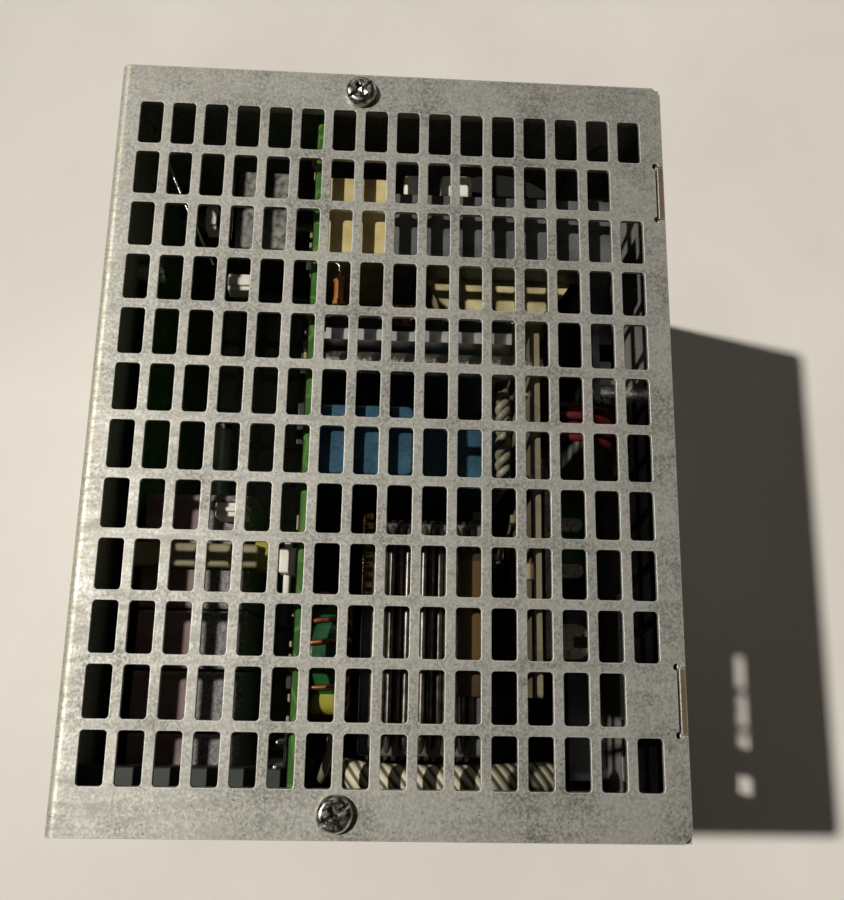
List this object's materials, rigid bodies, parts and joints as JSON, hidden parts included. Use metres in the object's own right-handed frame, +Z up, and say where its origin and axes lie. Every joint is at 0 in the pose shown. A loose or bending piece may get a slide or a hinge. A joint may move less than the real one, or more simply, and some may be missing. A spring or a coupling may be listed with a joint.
{
  "type": "din rail power supply",
  "caption": "Metal-cased rail-mount power supply with perforated covers, screw terminals and a sprung rail latch.",
  "frame": {"origin": "centre of the mounting rail on the case's rear plate", "axes": "+X along the rail, +Y out of the rear towards the rail, +Z up when mounted; the front panel faces -Y"},
  "size_m": [0.1618, 0.1378, 0.1271],
  "materials": {
    "galvanised_steel": "zinc-coated sheet, mottled, satin",
    "foil": "printed polyester film, satin",
    "bright_steel": "zinc-plated, bright",
    "clamp_steel": "zinc-plated, satin",
    "aluminium": "bare, satin",
    "grey_plastic": "moulded polyamide, satin",
    "black_plastic": "moulded, satin",
    "green_plastic": "moulded polyamide, satin",
    "white_plastic": "moulded, satin",
    "clear_plastic": "moulded clear plastic",
    "blue_plastic": "moulded box, glossy",
    "grey_epoxy": "epoxy-filled box, satin",
    "tinned_copper": "tin-plated copper",
    "copper_wire": "enamelled copper wire",
    "varnished_wire": "varnished copper winding",
    "green_board": "solder mask on glass-epoxy",
    "tan_board": "glass-epoxy",
    "ferrite": "sintered ferrite, matte",
    "ceramic": "ceramic tube with metal caps",
    "yellow_tape": "polyester tape",
    "cream_tape": "polyester tape",
    "green_coating": "epoxy-coated powder core",
    "capacitor_sleeve": "shrunk sleeve on aluminium cans"
  },
  "bodies": {
    "case": {"chassis": "galvanised_steel", "front_panel": "galvanised_steel", "top_grille_cover": "galvanised_steel", "bottom_grille_cover": "galvanised_steel", "front_foil": "foil", "cover_screws": "bright_steel", "base_screws": "bright_steel", "side_rivets": "aluminium", "rail_hook": "aluminium", "latch_guide": "galvanised_steel", "latch_spring": "bright_steel", "clip_screws": "bright_steel", "dc_terminal_block": "grey_plastic", "ac_terminal_block": "grey_plastic", "current_bars": "tinned_copper", "signal_header": "green_plastic", "main_board": "green_board", "filter_board": "green_board", "control_board": "tan_board", "display_board": "green_board", "board_spacers": "bright_steel", "board_screws": "bright_steel", "trimmer_body": "blue_plastic", "mode_switch_body": "black_plastic", "light_pipes": "clear_plastic", "film_capacitors": "grey_epoxy", "line_choke": "ferrite", "line_windings": "copper_wire", "input_fuse": "ceramic", "spacer_bar": "black_plastic", "blue_capacitors": "blue_plastic", "aux_transformer": "yellow_tape", "transformer_core": "ferrite", "transformer_winding": "cream_tape", "power_choke": "varnished_wire", "ring_core": "green_coating", "shield_plate": "aluminium", "bulk_capacitors": "capacitor_sleeve", "heat_sink": "aluminium", "power_transistors": "black_plastic", "output_busbar": "tinned_copper"},
    "latch": {"din_latch": "black_plastic"},
    "signal_plug": {"signal_plug": "green_plastic"},
    "trimmer": {"trimmer_rotor": "white_plastic"},
    "mode_1": {"mode_slider_1": "white_plastic"},
    "mode_2": {"mode_slider_2": "white_plastic"},
    "dc_screw_1": {"dc_screw_1": "bright_steel"},
    "dc_clamp_1": {"dc_clamp_1": "clamp_steel"},
    "dc_screw_2": {"dc_screw_2": "bright_steel"},
    "dc_clamp_2": {"dc_clamp_2": "clamp_steel"},
    "dc_screw_3": {"dc_screw_3": "bright_steel"},
    "dc_clamp_3": {"dc_clamp_3": "clamp_steel"},
    "dc_screw_4": {"dc_screw_4": "bright_steel"},
    "dc_clamp_4": {"dc_clamp_4": "clamp_steel"},
    "ac_screw_1": {"ac_screw_1": "bright_steel"},
    "ac_clamp_1": {"ac_clamp_1": "clamp_steel"},
    "ac_screw_2": {"ac_screw_2": "bright_steel"},
    "ac_clamp_2": {"ac_clamp_2": "clamp_steel"},
    "ac_screw_3": {"ac_screw_3": "bright_steel"},
    "ac_clamp_3": {"ac_clamp_3": "clamp_steel"}
  },
  "joints": [
    {"name": "latch_slide", "type": "slide", "parent": "case", "child": "latch", "axis": [0, 0, -1], "range_m": [0, 0.0048], "stiffness_N_per_m": 1500, "springref_m": -0.003, "deforming": ["latch_spring"]},
    {"name": "signal_plug_pull", "type": "slide", "parent": "case", "child": "signal_plug", "axis": [0, -1, 0], "range_m": [0, 0.009]},
    {"name": "trimmer_turn", "type": "hinge", "parent": "case", "child": "trimmer", "pos_m": [0.022, -0.117, 0.022], "axis": [0, 1, 0], "range_deg": [-135, 135]},
    {"name": "mode_1_slide", "type": "slide", "parent": "case", "child": "mode_1", "axis": [0, 0, 1], "range_m": [0, 0.002]},
    {"name": "mode_2_slide", "type": "slide", "parent": "case", "child": "mode_2", "axis": [0, 0, 1], "range_m": [0, 0.002]},
    {"name": "dc_screw_1_turn", "type": "hinge", "parent": "case", "child": "dc_screw_1", "pos_m": [-0.069, -0.128, -0.009], "axis": [0, 1, 0], "range_deg": [0, 1500]},
    {"name": "dc_clamp_1_lift", "type": "slide", "parent": "case", "child": "dc_clamp_1", "axis": [0, -1, 0], "range_m": [0, 0.00208]},
    {"name": "dc_screw_2_turn", "type": "hinge", "parent": "case", "child": "dc_screw_2", "pos_m": [-0.059, -0.128, -0.009], "axis": [0, 1, 0], "range_deg": [0, 1500]},
    {"name": "dc_clamp_2_lift", "type": "slide", "parent": "case", "child": "dc_clamp_2", "axis": [0, -1, 0], "range_m": [0, 0.00208]},
    {"name": "dc_screw_3_turn", "type": "hinge", "parent": "case", "child": "dc_screw_3", "pos_m": [-0.049, -0.128, -0.009], "axis": [0, 1, 0], "range_deg": [0, 1500]},
    {"name": "dc_clamp_3_lift", "type": "slide", "parent": "case", "child": "dc_clamp_3", "axis": [0, -1, 0], "range_m": [0, 0.00208]},
    {"name": "dc_screw_4_turn", "type": "hinge", "parent": "case", "child": "dc_screw_4", "pos_m": [-0.039, -0.128, -0.009], "axis": [0, 1, 0], "range_deg": [0, 1500]},
    {"name": "dc_clamp_4_lift", "type": "slide", "parent": "case", "child": "dc_clamp_4", "axis": [0, -1, 0], "range_m": [0, 0.00208]},
    {"name": "ac_screw_1_turn", "type": "hinge", "parent": "case", "child": "ac_screw_1", "pos_m": [0.03, -0.128, -0.041], "axis": [0, 1, 0], "range_deg": [0, 1500]},
    {"name": "ac_clamp_1_lift", "type": "slide", "parent": "case", "child": "ac_clamp_1", "axis": [0, -1, 0], "range_m": [0, 0.00208]},
    {"name": "ac_screw_2_turn", "type": "hinge", "parent": "case", "child": "ac_screw_2", "pos_m": [0.04, -0.128, -0.041], "axis": [0, 1, 0], "range_deg": [0, 1500]},
    {"name": "ac_clamp_2_lift", "type": "slide", "parent": "case", "child": "ac_clamp_2", "axis": [0, -1, 0], "range_m": [0, 0.00208]},
    {"name": "ac_screw_3_turn", "type": "hinge", "parent": "case", "child": "ac_screw_3", "pos_m": [0.05, -0.128, -0.041], "axis": [0, 1, 0], "range_deg": [0, 1500]},
    {"name": "ac_clamp_3_lift", "type": "slide", "parent": "case", "child": "ac_clamp_3", "axis": [0, -1, 0], "range_m": [0, 0.00208]}
  ],
  "couplings": [
    {"joint": "dc_screw_1_turn", "follows": "dc_clamp_1_lift", "rad_per_m": 12566},
    {"joint": "dc_screw_2_turn", "follows": "dc_clamp_2_lift", "rad_per_m": 12566},
    {"joint": "dc_screw_3_turn", "follows": "dc_clamp_3_lift", "rad_per_m": 12566},
    {"joint": "dc_screw_4_turn", "follows": "dc_clamp_4_lift", "rad_per_m": 12566},
    {"joint": "ac_screw_1_turn", "follows": "ac_clamp_1_lift", "rad_per_m": 12566},
    {"joint": "ac_screw_2_turn", "follows": "ac_clamp_2_lift", "rad_per_m": 12566},
    {"joint": "ac_screw_3_turn", "follows": "ac_clamp_3_lift", "rad_per_m": 12566}
  ]
}
